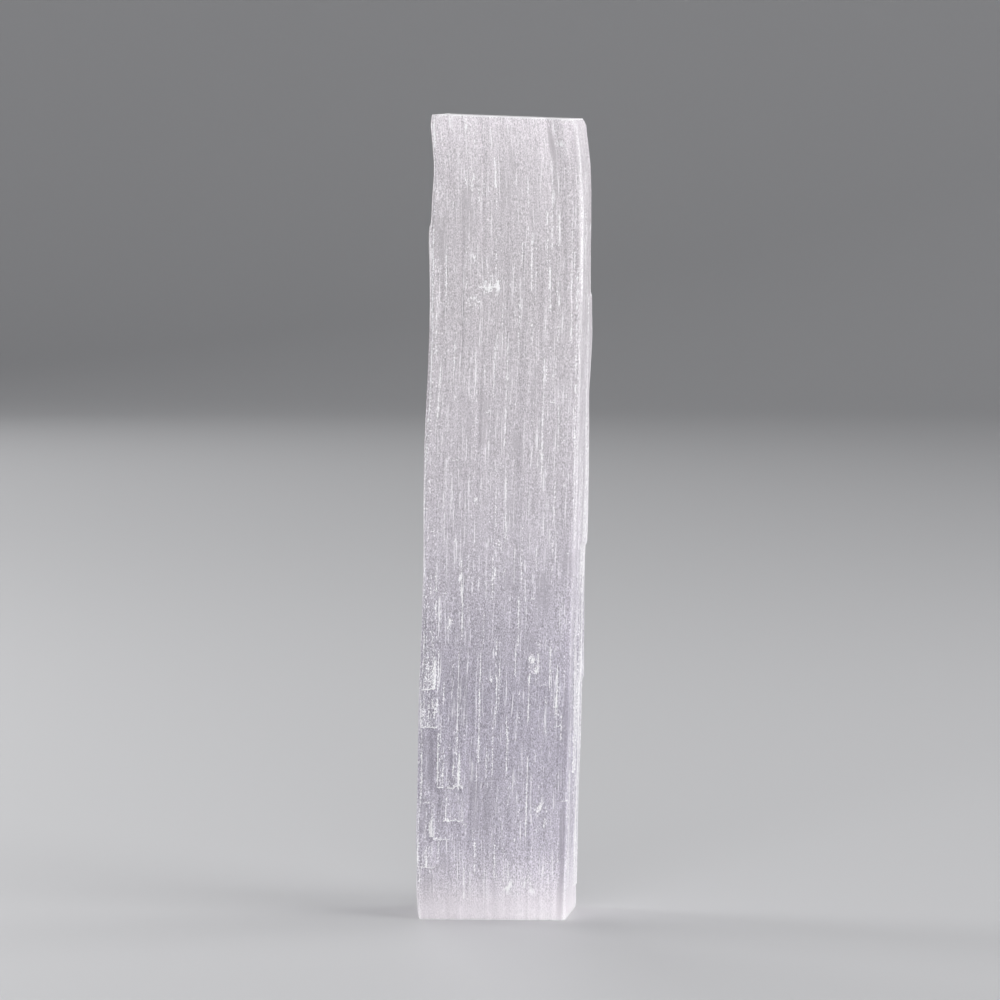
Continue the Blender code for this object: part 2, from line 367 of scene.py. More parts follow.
def make_columns():
    """Columns in order round the bar. Each starts on the core and points outwards."""
    columns = []
    for k, face in enumerate(FACES):
        following = FACES[(k + 1) % 4]
        for i in range(FACE_COLUMNS[face]):
            columns.append(Column(face, i / (FACE_COLUMNS[face] - 1), k, 0.0))
        for i in range(1, CORNER_STEPS + 1):
            columns.append(Column(face, 1.0, k, math.atan(i / CORNER_STEPS)))
        for i in range(CORNER_STEPS - 1, 0, -1):
            columns.append(Column(following, 1.0, k, math.pi / 2 - math.atan(i / CORNER_STEPS)))
    return columns


columns = make_columns()
N = len(columns)
face_of = np.array([FACES.index(column.face) for column in columns])
corner_of = [c for c, column in enumerate(columns) if abs(column.turn - math.pi / 4) < 1e-9]


def make_levels():
    top_end = TOP[0]
    inner = np.arange(RIM_LEVELS[-1] + LEVEL_STEP, top_end - RIM_LEVELS[-1] - LEVEL_STEP / 2, LEVEL_STEP)
    upper = [top_end - z for z in reversed(RIM_LEVELS)]
    return np.array(list(RIM_LEVELS) + list(inner) + upper)


levels = make_levels()
M = len(levels)
lines = form_lines(levels)
spine_x = (lines["right"] - lines["left"]) / 2
spine_y = (lines["back"] - lines["front"]) / 2


def core_corner(k):
    """The core's corner at the start of face k, at every level."""
    left = -lines["left"] + CORE_INSET
    right = lines["right"] - CORE_INSET
    front = -lines["front"] + CORE_INSET
    back = lines["back"] - CORE_INSET
    return np.stack(((left, front), (right, front), (right, back), (left, back))[k], axis=-1)


def core_points():
    """Where every column starts on the core, as an array of levels by columns by (x, y)."""
    starts = np.zeros((M, N, 2))
    for c, column in enumerate(columns):
        a, b = core_corner(column.start), core_corner((column.start + 1) % 4)
        starts[:, c] = a + (b - a) * column.core_share
    return starts


def directions():
    """The way out of the core on each column."""
    out = np.zeros((N, 2))
    for c, column in enumerate(columns):
        a = np.array(OUTWARD[FACES[column.start]], float)
        b = np.array(OUTWARD[FACES[(column.start + 1) % 4]], float)
        out[c] = a * math.cos(column.turn) + b * math.sin(column.turn)
    return out


starts = core_points()
out_way = directions()
reach_of = CORE_INSET / np.abs(out_way).max(axis=1)  # from the core to the bar's flat outline
outline = starts[M // 2] + out_way * reach_of[:, None]
steps = np.linalg.norm(np.diff(np.vstack([outline, outline[:1]]), axis=0), axis=1)
around = np.concatenate([[0.0], np.cumsum(steps)[:-1]])
GIRTH = steps.sum()
face_width = [(around[corner_of[k]] - around[corner_of[k - 1]]) % GIRTH for k in range(4)]


def face_shares():
    """Each column's place across its face, from 0 at the face's first corner to 1 at its last."""
    shares = np.zeros(N)
    for k in range(4):
        mine = face_of == k
        shares[mine] = (around[mine] - around[corner_of[k - 1]]) % GIRTH / face_width[k]
    return shares


share_of = face_shares()
to_corner = np.min([abs((around - around[c] + GIRTH / 2) % GIRTH - GIRTH / 2) for c in corner_of], axis=0)


def fibre_noise(width, length, heights):
    """Noise from -1 to 1 over the skin. Its cells are that wide and long, and closed round the bar."""
    count = round(GIRTH / width)
    rows = int(HIGH.z / length) + SPARE_ROWS
    lattice = random_numbers.uniform(-1, 1, (rows, count))
    shift = random_numbers.uniform(0, 1, count)
    place = around / GIRTH * count
    left = np.floor(place).astype(int) % count
    right = (left + 1) % count
    across = smooth(place - np.floor(place))
    total = np.zeros(heights.shape)
    for index, weight in ((left, 1 - across), (right, across)):
        row = heights / length + shift[index]
        low = np.clip(np.floor(row).astype(int), 0, rows - 2)
        t = smooth(row - low)
        total += weight * (lattice[low, index] * (1 - t) + lattice[low + 1, index] * t)
    return total


# Flakes, splits and bruises are laid on the grid as extra height and as whiteness, calms as calmness

def all_flakes():
    flakes = list(FLAKES)
    for face, count in RANDOM_FLAKES.items():
        width = face_width[FACES.index(face)]
        for _ in range(count):
            wide = random_numbers.uniform(*FLAKE_WIDTH) * random_numbers.uniform(*FLAKE_NARROWING)
            long = random_numbers.uniform(*FLAKE_LENGTH) / MM
            left = random_numbers.uniform(*FLAKE_LEFT)
            break_z = random_numbers.uniform(BREAKS_FROM, HIGH.z / MM - ENDS_CLEAR)
            way = 1 if random_numbers.uniform() < BREAKS_BELOW else -1
            thickness = random_numbers.uniform(*FLAKE_THICKNESS) / MM
            lip = random_numbers.uniform(*FLAKE_LIP)
            worn = random_numbers.uniform(*FLAKE_WORN)
            right = left + wide / width
            fade_z = break_z + way * long
            flakes.append(Flake(face, left, right, break_z, fade_z, thickness, lip, worn))
    return flakes


def columns_of(face, left, right):
    """The columns between two shares of a face's width."""
    return np.where((face_of == FACES.index(face)) & (share_of >= left) & (share_of <= right))[0]


def ragged(count, amount):
    """A jagged run of offsets, one for each column, in short steps."""
    offsets = random_numbers.uniform(-amount, amount, count)
    runs = random_numbers.uniform(-amount, amount, count // RAGGED_RUN + 1)
    return offsets + np.repeat(runs, RAGGED_RUN)[:count]


def settle_heights(flakes):
    """Every vertex's height, with three levels drawn to each flake's break so that it is a sharp ledge."""
    heights = np.repeat(levels[:, None], N, axis=1)
    breaks = []
    for flake in flakes:
        span = columns_of(flake.face, flake.left, flake.right)
        at = flake.break_z * MM + ragged(len(span), BREAK_RAGGED)
        breaks.append((span, at))
        way = 1 if flake.fade_z > flake.break_z else -1
        for c, z in zip(span, at):
            k = int(np.searchsorted(levels, z)) - (way < 0)
            if len(RIM_LEVELS) < k < M - len(RIM_LEVELS) - 1:
                heights[k - way, c] = z - way * BREAK_FALL
                heights[k, c] = z + way * BREAK_EDGE
                heights[k + way, c] = z + way * LIP
    least = np.arange(M)[:, None] * LEAST_STEP
    heights = np.maximum.accumulate(heights - least, axis=0) + least
    return heights, breaks


def lay_flakes(flakes, breaks, heights, height, white):
    """Adds each flake's thickness, its crushed lip and its worn white."""
    for flake, (span, at) in zip(flakes, breaks):
        if len(span) == 0:
            continue
        way = 1 if flake.fade_z > flake.break_z else -1
        length = abs(flake.fade_z - flake.break_z) * MM * random_numbers.uniform(*FADE_SPREAD, len(span))
        above = (heights[:, span] - at) * way
        run = 1 - above / length
        on = (above >= 0) & (run > 0)
        height[:, span] += np.where(on, flake.thickness * MM * np.minimum(1, FADE_STEEPNESS * run), 0)
        lip = flake.lip * (1 - smooth(np.maximum(above, 0) / LIP))
        uneven = random_numbers.uniform(*WORN_SPREAD, len(span))
        worn = flake.worn * np.clip(WORN_STEEPNESS * run, 0, 1) * uneven
        white[:, span] = np.maximum(white[:, span], np.where(on, np.maximum(lip, worn), 0))


def all_splits():
    splits = list(SPLITS)
    for face, count in RANDOM_SPLITS.items():
        for _ in range(count):
            long = random_numbers.uniform(*SPLIT_LENGTH) / MM * random_numbers.uniform(*SPLIT_SHORTENING)
            low = random_numbers.uniform(SPLITS_FROM, HIGH.z / MM)
            share = random_numbers.uniform(0, 1)
            whiteness = random_numbers.uniform(*SPLIT_WHITENESS)
            splits.append(Split(face, share, low, low + long, whiteness))
    return splits


def lay_splits(splits, height, white):
    """Cuts each split into the column nearest to it, and whitens it in broken runs."""
    for split in splits:
        face_columns = columns_of(split.face, 0, 1)
        nearest = face_columns[np.argmin(np.abs(share_of[face_columns] - split.share))]
        middle = (split.low_z + split.high_z) / 2 * MM
        half = (split.high_z - split.low_z) / 2 * MM
        drift = np.cumsum(random_numbers.normal(0, SPLIT_DRIFT, M))
        drift -= drift[int(np.clip(np.searchsorted(levels, middle), 0, M - 1))]
        broken = np.repeat(random_numbers.uniform(*SPLIT_BROKEN, M // SPLIT_RUN + 1), SPLIT_RUN)[:M]
        for k in range(M):
            fade = 1 - abs(levels[k] - middle) / half
            if fade <= 0:
                continue
            taper = min(1.0, SPLIT_TAPER * fade)
            c = int(nearest + round(float(drift[k]))) % N
            white[k, c] = max(white[k, c], split.whiteness * broken[k] * taper)
            height[k, c] -= SPLIT_DEPTH * taper


def all_bruises():
    bruises = list(BRUISES_AND_SHEEN)
    for face, count in RANDOM_BRUISES.items():
        for _ in range(count):
            share = random_numbers.uniform(0, 1)
            z = random_numbers.uniform(ENDS_CLEAR, HIGH.z / MM - ENDS_CLEAR)
            radius = random_numbers.uniform(*BRUISE_RADIUS)
            whiteness = random_numbers.uniform(*BRUISE_WHITENESS)
            bruises.append(Bruise(face, share, z, radius, whiteness))
    return bruises


def lay_bruises(bruises, heights, height, white, crumb):
    """Whitens each bruise and presses it in, in crumbs; the painted sheen patches too."""
    for bruise in bruises:
        span = columns_of(bruise.face, 0, 1)
        across = (share_of[span] - bruise.share) * face_width[FACES.index(bruise.face)]
        up = (heights[:, span] - bruise.z * MM) / BRUISE_STRETCH
        far = np.sqrt(across[None, :] ** 2 + up ** 2) / (bruise.radius * MM)
        strength = np.clip(BRUISE_REACH - far, 0, 1)
        patchy = strength * np.clip(CRUMB_WHITE[0] + CRUMB_WHITE[1] * crumb[:, span], 0, 1)
        white[:, span] = np.maximum(white[:, span], patchy * bruise.whiteness * BRUISE_GAIN)
        height[:, span] -= BRUISE_DEPTH * strength * (CRUMB_DEPTH + crumb[:, span])


def all_calms():
    calms = list(CALMS)
    for face, count in RANDOM_CALMS.items():
        for _ in range(count):
            left = random_numbers.uniform(*CALM_LEFT)
            low = random_numbers.uniform(CALM_FROM, HIGH.z / MM - CALM_TOP)
            wide = random_numbers.uniform(*CALM_WIDTH)
            long = random_numbers.uniform(*CALM_LENGTH)
            strength = random_numbers.uniform(*CALM_STRENGTH)
            calms.append(Calm(face, left, left + wide, low, low + long, strength))
    return calms


def lay_calms(calms, heights):
    """How calm the surface is, from 0 to 1, at every vertex."""
    calmness = np.zeros((M, N))
    edge = CALM_EDGE * fibre_noise(*CALM_RAGGED, heights)
    for calm in calms:
        face = FACES.index(calm.face)
        span = columns_of(calm.face, calm.left, calm.right)
        across = np.minimum(share_of[span] - calm.left, calm.right - share_of[span]) * face_width[face]
        along = np.minimum(heights[:, span] - calm.low_z * MM, calm.high_z * MM - heights[:, span])
        rough = edge[:, span]
        inside = smooth((across[None, :] + CALM_SIDE_RAG * rough) / CALM_EDGE)
        inside *= smooth((along + CALM_END_RAG * rough) / (CALM_END_RAG * CALM_EDGE))
        calmness[:, span] = np.maximum(calmness[:, span], inside * calm.strength)
    return calmness


def wear_rims(heights, height, white):
    """Rounds the sawn ends' rims in and whitens them."""
    below_top = levels[-1] - np.minimum(heights, levels[-1])
    chips = np.clip(fibre_noise(*CHIPS, heights), 0, 1)
    uneven = CHIP_WEAR[0] + CHIP_WEAR[1] * chips
    ends = ((heights, BASE_RIM_WEAR, BASE_RIM_GLOW), (below_top, TOP_RIM_WEAR, TOP_RIM_GLOW))
    for gap, wear, glow in ends:
        height -= wear * (1 - smooth(gap / RIM_LEVELS[-1])) * uneven
        np.maximum(white, 1 - smooth(gap / glow), out=white)


def skin_points(heights, height):
    """Casts every column from the core to the solid's surface, and adds the relief on top."""
    points = np.zeros((M, N, 3))
    outer = starts + (out_way * reach_of[:, None])[None]
    lift = smooth((levels - (levels[-1] - END_ZONE)) / END_ZONE)
    top = top_height(outer[..., 0], outer[..., 1])
    final_z = heights + (top - TOP[0]) * lift[:, None]
    for c in range(N):
        direction = Vector((out_way[c, 0], out_way[c, 1], 0))
        for k in range(M):
            z = min(max(final_z[k, c], CAST_MARGIN), top[k, c] - CAST_MARGIN)
            start = Vector((starts[k, c, 0], starts[k, c, 1], z))
            hit = tree.ray_cast(start, direction)[0]
            points[k, c] = (
                hit.x + direction.x * height[k, c], hit.y + direction.y * height[k, c], final_z[k, c]
            )
    return points


def flatten_foot(points, heights):
    """Takes the ridges off the right face where it nears the base."""
    mine = np.where(face_of == FACES.index("right"))[0]
    first, last = (mine[np.argmin(np.abs(share_of[mine] - share))] for share in FLAT_BETWEEN)
    x, y = points[:, mine, 0], points[:, mine, 1]
    x0, y0 = points[:, [first], 0], points[:, [first], 1]
    x1, y1 = points[:, [last], 0], points[:, [last], 1]
    flat = x0 + (x1 - x0) * (y - y0) / (y1 - y0)
    strength = (1 - smooth(heights[:, mine] / FLAT_FOOT)) * smooth(to_corner[mine] / RIDGE_FADE)
    points[:, mine, 0] = x + (flat - x) * strength


def cap_rings(rim, shares, level_of):
    """Rings that close in from a rim towards the bar's middle, each at the height that level_of gives."""
    middle = rim.mean(axis=0)
    target_x = np.clip(rim[:, 0], middle[0] - MIDDLE_RIDGE, middle[0] + MIDDLE_RIDGE)
    rings = []
    for share in shares:
        x = rim[:, 0] + (target_x - rim[:, 0]) * share
        y = rim[:, 1] + (middle[1] - rim[:, 1]) * share
        rings.append(np.column_stack([x, y, level_of(x, y)]))
    return rings


def sawn_top(x, y):
    """The sawn top with the saw's faint arcs and the fibre ends standing a little proud."""
    relief = np.zeros(len(x))
    for grain in SAW_GRAINS:
        rough = [noise.noise(Vector((a, b, grain.layer)) / grain.cell) for a, b in zip(x, y)]
        relief += grain.share * np.array(rough)
    arcs = np.sin(np.hypot(x - SAW_CENTRE[0], y - SAW_CENTRE[1]) * math.tau / SAW_STEP)
    return top_height(x, y) + SAW_RELIEF * (relief + SAW_ARCS * arcs)


def build_skin():
    """The skin's points, their whiteness and calmness, and the rings that close its ends."""
    flakes = all_flakes()
    splits = all_splits()
    bruises = all_bruises()
    heights, breaks = settle_heights(flakes)
    height = np.zeros((M, N))
    for width, length, amount in FIBRES:
        height += amount * fibre_noise(width, length, heights)
    calm = lay_calms(all_calms(), heights)
    height *= (1 - calm) * (FOOT_RELIEF + (1 - FOOT_RELIEF) * smooth(heights / FOOT))
    crumb = fibre_noise(*CRUMB, heights)
    # Whiteness along the long corners, partly a painted rim highlight
    glow = np.max([amount * np.exp(-(to_corner / far) ** 2) for amount, far in CORNER_GLOWS], axis=0)
    white = glow * (1 - GLOW_UNEVEN + GLOW_UNEVEN * fibre_noise(*GLOW_GRAIN, heights)) * (1 - calm)
    for face, ridges in RIDGES.items():
        on = (face_of == FACES.index(face)) * smooth(to_corner / RIDGE_FADE)
        crests = fibre_noise(ridges.width, ridges.length, heights) * on
        height += ridges.height * crests
        np.maximum(white, ridges.whiteness * smooth(CREST_STEEPNESS * crests), out=white)
    lay_flakes(flakes, breaks, heights, height, white)
    lay_splits(splits, height, white)
    lay_bruises(bruises, heights, height, white, crumb)
    wear_rims(heights, height, white)
    points = skin_points(heights, height)
    flatten_foot(points, heights)
    top_rings = cap_rings(points[-1], TOP_RINGS, sawn_top)
    base_rings = cap_rings(points[0], BASE_RINGS, lambda x, y: np.zeros(len(x)))
    return points, white, calm, top_rings, base_rings


def fibre_coordinates(points):
    """Places measured from the bar's curved middle line, so that the grain follows its lean."""
    shifted = points.copy()
    shifted[:, 0] -= np.interp(points[:, 2], levels, spine_x)
    shifted[:, 1] -= np.interp(points[:, 2], levels, spine_y)
    return shifted


def make_wand():
    points, white, calm, top_rings, base_rings = build_skin()
    rings = list(reversed(base_rings)) + list(points) + top_rings
    vertices = np.concatenate(rings)
    ring_count = len(rings)
    faces = []
    for k in range(ring_count - 1):
        a = k * N + np.arange(N)
        b = k * N + (np.arange(N) + 1) % N
        faces += np.column_stack([a, b, b + N, a + N]).tolist()
    faces.append(list(range(N))[::-1])
    faces.append(list(range((ring_count - 1) * N, ring_count * N)))
    mesh = bpy.data.meshes.new("wand_skin")
    mesh.from_pydata(vertices.tolist(), [], faces)
    mesh.shade_smooth()
    mesh.set_sharp_from_angle(angle=SHARP_ANGLE)
    base_white = np.full(len(base_rings) * N, BASE_WHITENESS)
    top_white = np.repeat(np.linspace(*TOP_WHITENESS, len(top_rings)), N)
    whiteness = np.concatenate([base_white, white.ravel(), top_white])
    calmness = np.concatenate([np.zeros(len(base_white)), calm.ravel(), np.zeros(len(top_white))])
    for name, values in (("whiteness", whiteness), ("calmness", calmness)):
        mesh.attributes.new(name, "FLOAT", "POINT").data.foreach_set(
            "value", np.clip(values, 0, 1).astype(np.float32)
        )
    mesh.attributes.new("fibre", "FLOAT_VECTOR", "POINT").data.foreach_set(
        "vector", fibre_coordinates(vertices).astype(np.float32).ravel()
    )
    wand = bpy.data.objects.new("wand_skin", mesh)
    bpy.context.scene.collection.objects.link(wand)
    return wand


# Materials

class Nodes:
    """A short way to add and join shader nodes."""

    def __init__(self, name):
        self.material = bpy.data.materials.new(name)
        self.material.use_nodes = True
        self.tree = self.material.node_tree
        self.shader = self.tree.nodes["Principled BSDF"]

    def add(self, kind, **settings):
        node = self.tree.nodes.new(kind)
        for key, value in settings.items():
            setattr(node, key, value)
        return node

    def join(self, source, socket):
        """Puts a number, a colour or another node's output into a socket."""
        if isinstance(source, (int, float, tuple)):
            socket.default_value = source
        else:
            self.tree.links.new(source, socket)

    def math(self, operation, a, b=0.0, clamp=False):
        node = self.add("ShaderNodeMath", operation=operation, use_clamp=clamp)
        self.join(a, node.inputs[0])
        self.join(b, node.inputs[1])
        return node.outputs[0]

    def vector(self, operation, a, b):
        node = self.add("ShaderNodeVectorMath", operation=operation)
        self.join(a, node.inputs[0])
        self.join(b, node.inputs[1])
        return node.outputs[0]

    def noise(self, place, wide, long, deep=None, detail=1.0, roughness=0.5, output="Fac"):
        """Noise whose cells are that wide across the fibres and that long along them."""
        node = self.add("ShaderNodeTexNoise", noise_dimensions="3D")
        cells = (1 / wide, 1 / (deep or wide), 1 / long)
        self.join(self.vector("MULTIPLY", place, cells), node.inputs["Vector"])
        node.inputs["Scale"].default_value = 1.0
        node.inputs["Detail"].default_value = detail
        node.inputs["Roughness"].default_value = roughness
        return node.outputs[output]

    def spread(self, value, low, high, to_low=0.0, to_high=1.0):
        """Turns the range from low to high into the range from to_low to to_high, and stops at its ends."""
        node = self.add("ShaderNodeMapRange", clamp=True)
        self.join(value, node.inputs["Value"])
        node.inputs["From Min"].default_value = low
        node.inputs["From Max"].default_value = high
        node.inputs["To Min"].default_value = to_low
        node.inputs["To Max"].default_value = to_high
        return node.outputs["Result"]

    def ramp(self, value, stops):
        node = self.add("ShaderNodeValToRGB")
        elements = node.color_ramp.elements
        elements.remove(elements[-1])
        elements[0].position, elements[0].color = stops[0]
        for position, colour in stops[1:]:
            elements.new(position).color = colour
        self.join(value, node.inputs["Fac"])
        return node.outputs["Color"]

    def mix(self, share, a, b, blend="MIX"):
        node = self.add("ShaderNodeMix", data_type="RGBA", blend_type=blend)
        self.join(share, node.inputs["Factor"])
        self.join(a, node.inputs[6])
        self.join(b, node.inputs[7])
        return node.outputs[2]


# The body's colour up the bar, mostly painted light: the sawn ends are painted lighter, as light shining
# through them and bounced up from the floor, and the lower middle darker and cooler, as painted bluish
# reflected light. Height in millimetres, lightness, and how cool its lilac is
Tone = namedtuple("Tone", "z lightness coolness")
TONES_WITH_PAINTED_LIGHT = (
    Tone(0, 1.46, 0.0),
    Tone(5, 1.25, 0.1),
    Tone(11, 0.94, 0.5),
    Tone(18, 0.75, 0.8),
    Tone(30, 0.69, 0.9),
    Tone(42, 0.67, 1.0),
    Tone(56, 0.63, 1.0),
    Tone(67, 0.69, 0.8),
    Tone(80, 0.77, 0.6),
    Tone(92, 0.87, 0.4),
    Tone(110, 0.89, 0.2),
    Tone(150, 0.89, 0.0),
    Tone(183, 0.93, 0.0),
    Tone(199, 1.12, 0.0),
)
NEUTRAL_BODY = (0.598, 0.564, 0.594)
# The cool lilac of the next colour is painted bluish reflected light
BLUISH_LIT_BODY = (0.593, 0.559, 0.653)
WHITE = (0.96, 0.95, 0.97)

# The body is painted lighter or darker by some amount towards one side, below some height: lighter
# towards the right, as painted light falling from that side, and darker towards the left near the foot.
# Lengths in millimetres
Side = namedtuple("Side", "inner_x outer_x full_z gone_z amount")
SIDE_LIGHT_AND_DARKENING = (
    Side(0, 15, 140, 175, 0.07),
    Side(3, -14, 9, 17, -0.10),
)

# How wide and how long the cells of each kind of grain are
CLOUDS = (10 * MM, 26 * MM)
STREAKS = (1.1 * MM, 36 * MM)
STRANDS = (0.30 * MM, 16 * MM)
DASHES = (0.30 * MM, 2.2 * MM)
GRAINS = (0.22 * MM, 0.42 * MM)
SEAMS = (60 * MM, 60 * MM, 3.6 * MM)  # only their third side is short, so they band the two narrow faces
WANDER = (6 * MM, 16 * MM)
WANDER_AMOUNT = 1.4 * MM  # how far the fibres stray sideways
LIVELY_BELOW = (76 * MM, 92 * MM)  # the grains stand out more below these heights, by this much
LIVELINESS = 1.4

# How much darker and lighter the grains make the body, and what is left of that where it is smoother
NOISE_SPAN = (0.28, 0.72)  # nearly all noise lies between these values
GRAIN_SWING = (-0.27, 0.42)
BODY_SWINGS = (0.03, 0.02, 0.08, 0.10, 0.06)  # of the clouds, streaks, seams, strands and dashes
FOOT_CONTRAST = 0.22
FOOT_LEVEL = 0.25  # the contrast begins to rise at this share of the foot's height
CALM_CONTRAST = 0.25
# How much darker a calm makes the body: partly its greyer layer, partly painted shade in recesses
CALM_GREY_AND_SHADE = 0.88

# A white line shows where the strands and the dashes both pass these values
LINE_STRANDS = (0.62, 0.70)
LINE_DASHES = (0.36, 0.50)
LINE_WHITENESS = 0.70

# White grains show where grains, dashes and whiteness, each times its share, add up to this much: partly
# the white of crushed fibre ends, partly painted glints
CROWD_GRAINS = 0.65
CROWD_DASHES = 0.35
CROWD_WHITENESS = 0.34
CROWD_SUM = (0.64, 0.74)
ALL_WHITE = (0.42, 0.75)  # whiteness alone makes the surface white between these values

# The surface, and the soft light inside it
ROUGHNESS = (0.42, 0.62)  # where it is clear, and where it is white
BUMP_STRENGTH = 0.6
BUMP_HEIGHT = 0.07 * MM
BUMP_SHARE = 0.5  # the bump is half strands and half grains
IOR = 1.52
SPECULAR = 0.35
INNER_LIGHT = 0.35
INNER_COLOUR = (1.0, 0.95, 1.0)
INNER_REACH = 2.5 * MM


def body_stops():
    stops = []
    for tone in TONES_WITH_PAINTED_LIGHT:
        colour = [
            tone.lightness * (neutral + (cool - neutral) * tone.coolness)
            for neutral, cool in zip(NEUTRAL_BODY, BLUISH_LIT_BODY)
        ]
        stops.append((tone.z * MM / HIGH.z, (*colour, 1.0)))
    return stops


def satin_spar():
    n = Nodes("satin_spar")
    straight = n.add("ShaderNodeAttribute", attribute_name="fibre").outputs["Vector"]
    white = n.add("ShaderNodeAttribute", attribute_name="whiteness").outputs["Fac"]
    calm = n.add("ShaderNodeAttribute", attribute_name="calmness").outputs["Fac"]
    stray = n.vector("SUBTRACT", n.noise(straight, *WANDER, output="Color"), (0.5, 0.5, 0.5))
    fibre = n.vector("ADD", straight, n.vector("MULTIPLY", stray, (WANDER_AMOUNT, WANDER_AMOUNT, 0.0)))
    clouds = n.noise(fibre, *CLOUDS, detail=2)
    streaks = n.noise(fibre, *STREAKS, detail=2, roughness=0.6)
    seams = n.noise(fibre, *SEAMS)
    strands = n.noise(fibre, *STRANDS)
    dashes = n.noise(fibre, *DASHES)
    grains = n.noise(fibre, *GRAINS)
    parts = n.add("ShaderNodeSeparateXYZ")
    n.join(straight, parts.inputs[0])
    height = parts.outputs["Z"]

    # The sawn foot and the calm patches are smoother than the rest
    contrast = n.spread(height, FOOT_LEVEL * FOOT, FOOT, FOOT_CONTRAST, 1.0)
    contrast = n.math("MULTIPLY", contrast, n.spread(calm, 0.0, 1.0, 1.0, CALM_CONTRAST))
    swing = n.spread(grains, *NOISE_SPAN, *GRAIN_SWING)
    swing = n.math("MULTIPLY", swing, n.spread(height, *LIVELY_BELOW, LIVELINESS, 1.0))
    for grain, amount in zip((clouds, streaks, seams, strands, dashes), BODY_SWINGS):
        swing = n.math("ADD", swing, n.spread(grain, *NOISE_SPAN, -amount, amount))
    # Calms darken the body, partly as painted shade in recesses and the furrow
    tone = n.math("ADD", n.math("MULTIPLY", swing, contrast), n.spread(calm, 0.0, 1.0, 1.0, CALM_GREY_AND_SHADE))
    # Painted light: the body lighter towards the right, and darker towards the left near the foot
    for side in SIDE_LIGHT_AND_DARKENING:
        share = n.spread(parts.outputs["X"], side.inner_x * MM, side.outer_x * MM, 0.0, side.amount)
        share = n.math("MULTIPLY", share, n.spread(height, side.full_z * MM, side.gone_z * MM, 1.0, 0.0))
        tone = n.math("MULTIPLY", tone, n.math("ADD", share, 1.0))
    gray = n.add("ShaderNodeCombineXYZ")
    for socket in gray.inputs:
        n.join(tone, socket)
    # The body's colour up the bar, with its painted glow at the ends and painted cool, darker light lower
    # down
    body = n.ramp(n.math("DIVIDE", height, float(HIGH.z)), body_stops())
    body = n.mix(1.0, body, gray.outputs[0], blend="MULTIPLY")

    # White marks: broken lines along the fibres, and grains that crowd together where it is crushed
    lines = n.math("MULTIPLY", n.spread(strands, *LINE_STRANDS), n.spread(dashes, *LINE_DASHES))
    # The crowding white grains are partly painted glints
    crowd = n.math("ADD", n.math("MULTIPLY", grains, CROWD_GRAINS), n.math("MULTIPLY", dashes, CROWD_DASHES))
    crowd = n.math("ADD", crowd, n.math("MULTIPLY", white, CROWD_WHITENESS))
    crowd = n.spread(crowd, *CROWD_SUM)
    marks = n.math("MAXIMUM", n.math("MULTIPLY", lines, LINE_WHITENESS), crowd)
    marks = n.math("MULTIPLY", marks, contrast)
    marks = n.math("MAXIMUM", marks, n.spread(white, *ALL_WHITE))
    n.join(n.mix(marks, body, (*WHITE, 1.0)), n.shader.inputs["Base Color"])
    n.join(n.spread(marks, 0.0, 1.0, *ROUGHNESS), n.shader.inputs["Roughness"])

    relief = n.math("ADD", n.math("MULTIPLY", strands, BUMP_SHARE), n.math("MULTIPLY", grains, BUMP_SHARE))
    bump = n.add("ShaderNodeBump")
    bump.inputs["Strength"].default_value = BUMP_STRENGTH
    bump.inputs["Distance"].default_value = BUMP_HEIGHT
    n.join(relief, bump.inputs["Height"])
    n.join(bump.outputs["Normal"], n.shader.inputs["Normal"])

    n.shader.inputs["IOR"].default_value = IOR
    n.shader.inputs["Specular IOR Level"].default_value = SPECULAR
    n.shader.inputs["Subsurface Weight"].default_value = INNER_LIGHT
    n.shader.inputs["Subsurface Radius"].default_value = INNER_COLOUR
    n.shader.inputs["Subsurface Scale"].default_value = INNER_REACH
    return n.material


def matte(name, colour, roughness):
    n = Nodes(name)
    n.shader.inputs["Base Color"].default_value = (*colour, 1.0)
    n.shader.inputs["Roughness"].default_value = roughness
    return n.material


# The floor is a round studio sweep: flat under the wand, and rising in a soft curve all round

FLOOR_RADIUS = 2.3
SWEEP_RADIUS = 0.9
SWEEP_STEPS = 16
TURN_STEPS = 96
MERGE_DISTANCE = 0.0001
FLOOR_COLOUR = (0.62, 0.62, 0.63)
FLOOR_ROUGHNESS = 0.55


def make_floor():
    profile = [(0.0, 0.0), (FLOOR_RADIUS, 0.0)]
    for i in range(1, SWEEP_STEPS + 1):
        angle = i / SWEEP_STEPS * math.pi / 2
        profile.append((FLOOR_RADIUS + SWEEP_RADIUS * math.sin(angle), SWEEP_RADIUS * (1 - math.cos(angle))))
    mesh = bpy.data.meshes.new("floor")
    mesh.from_pydata([(r, 0, z) for r, z in profile], [(i, i + 1) for i in range(len(profile) - 1)], [])
    floor = bpy.data.objects.new("floor", mesh)
    bpy.context.scene.collection.objects.link(floor)
    turned = floor.modifiers.new("turned", "SCREW")
    turned.steps = TURN_STEPS
    turned.render_steps = TURN_STEPS
    turned.use_merge_vertices = True
    turned.merge_threshold = MERGE_DISTANCE
    turned.use_smooth_shade = True
    floor.data.materials.append(matte("floor", FLOOR_COLOUR, FLOOR_ROUGHNESS))


# Light and camera

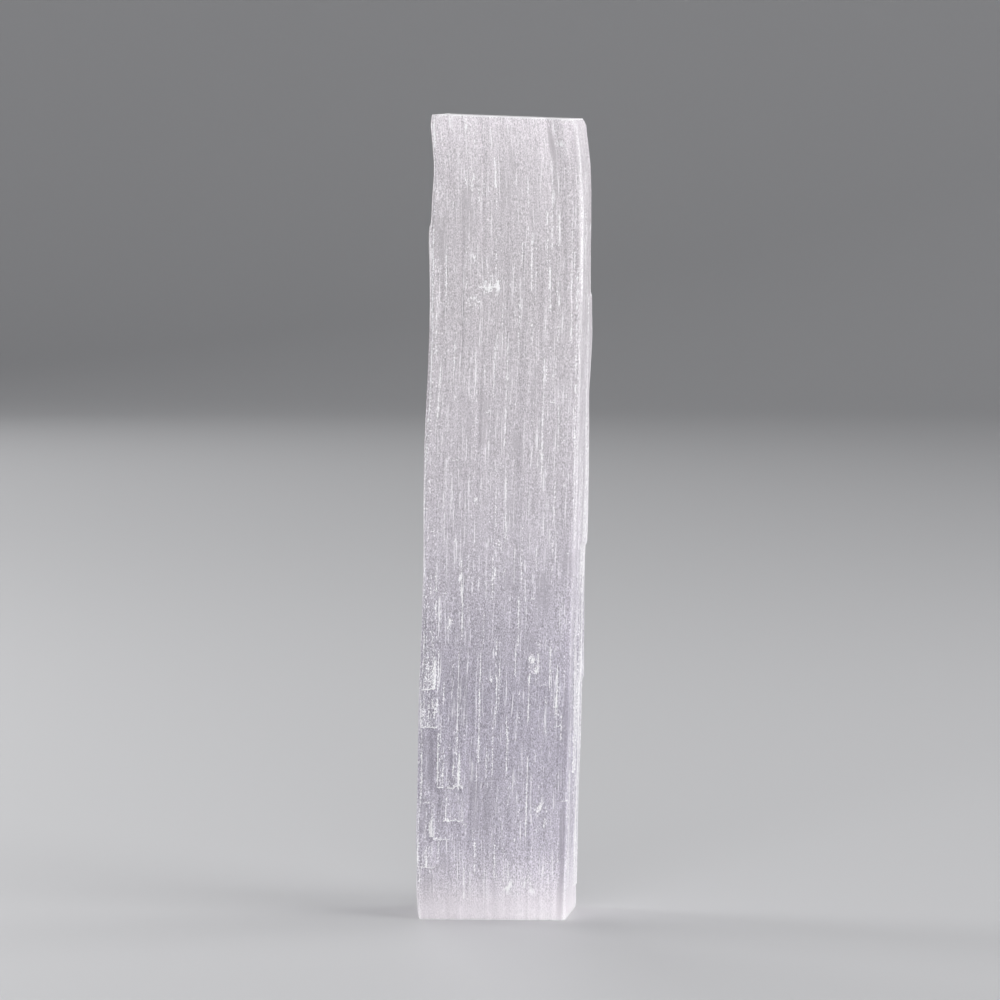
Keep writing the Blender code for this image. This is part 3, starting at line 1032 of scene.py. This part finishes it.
Lamp = namedtuple("Lamp", "name azimuth height distance size power")
LAMPS = (
    Lamp("key", 62, 0.40, 1.5, 0.9, 11.4),
    Lamp("front", -4, 0.50, 1.9, 1.2, 16.7),
    Lamp("rim_left", -112, 0.35, 1.4, 0.6, 11.0),
    Lamp("rim_right", 112, 0.30, 1.5, 0.6, 5.8),
    Lamp("back", -150, 0.90, 2.0, 1.2, 10.0),
    Lamp("top", 100, 1.55, 0.35, 0.8, 7.0),
)
WORLD = (0.80, 0.81, 0.84)
WORLD_STRENGTH = 0.24
AIM = Vector((0, 0, 0.1))


def make_lights():
    for lamp in LAMPS:
        angle = math.radians(lamp.azimuth)
        data = bpy.data.lights.new(lamp.name, "AREA")
        data.shape = "SQUARE"
        data.size = lamp.size
        data.energy = lamp.power
        light = bpy.data.objects.new(lamp.name, data)
        light.location = (lamp.distance * math.sin(angle), -lamp.distance * math.cos(angle), lamp.height)
        light.rotation_euler = (AIM - light.location).to_track_quat("-Z", "Y").to_euler()
        light.visible_camera = False
        bpy.context.scene.collection.objects.link(light)
    world = bpy.data.worlds.new("studio")
    world.use_nodes = True
    background = world.node_tree.nodes["Background"]
    background.inputs["Color"].default_value = (*WORLD, 1.0)
    background.inputs["Strength"].default_value = WORLD_STRENGTH
    bpy.context.scene.world = world
    bpy.context.scene.view_settings.view_transform = "Standard"


# The camera stands a little to the right of the front face, level with the wand's top
IMAGE = 1000
SENSOR = 36.0
CAMERA_AZIMUTH = math.radians(3.0)
CAMERA_DISTANCE = 1.55
CAMERA_HEIGHT = 0.21
CAMERA_PITCH = math.radians(3.93)
PIXELS_PER_METRE = 4020
BASE_MIDDLE_PIXEL = 504.3
CLIP_START = 0.05
CLIP_END = 20


def make_camera():
    data = bpy.data.cameras.new("camera")
    data.sensor_width = SENSOR
    data.lens = PIXELS_PER_METRE * CAMERA_DISTANCE / IMAGE * SENSOR
    data.clip_start = CLIP_START
    data.clip_end = CLIP_END
    camera = bpy.data.objects.new("camera", data)
    sideways = (IMAGE / 2 - BASE_MIDDLE_PIXEL) / PIXELS_PER_METRE
    right = Vector((math.cos(CAMERA_AZIMUTH), math.sin(CAMERA_AZIMUTH), 0))
    back = Vector((math.sin(CAMERA_AZIMUTH), -math.cos(CAMERA_AZIMUTH), 0))
    camera.location = back * CAMERA_DISTANCE + right * sideways + Vector((0, 0, CAMERA_HEIGHT))
    camera.rotation_euler = (math.pi / 2 - CAMERA_PITCH, 0, CAMERA_AZIMUTH)
    bpy.context.scene.collection.objects.link(camera)
    bpy.context.scene.camera = camera


make_camera()
make_floor()
make_lights()
wand = make_wand()
wand.data.materials.append(satin_spar())
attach(wand, "root")
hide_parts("wand")
print("triangles", sum(len(p.vertices) - 2 for p in wand.data.polygons))
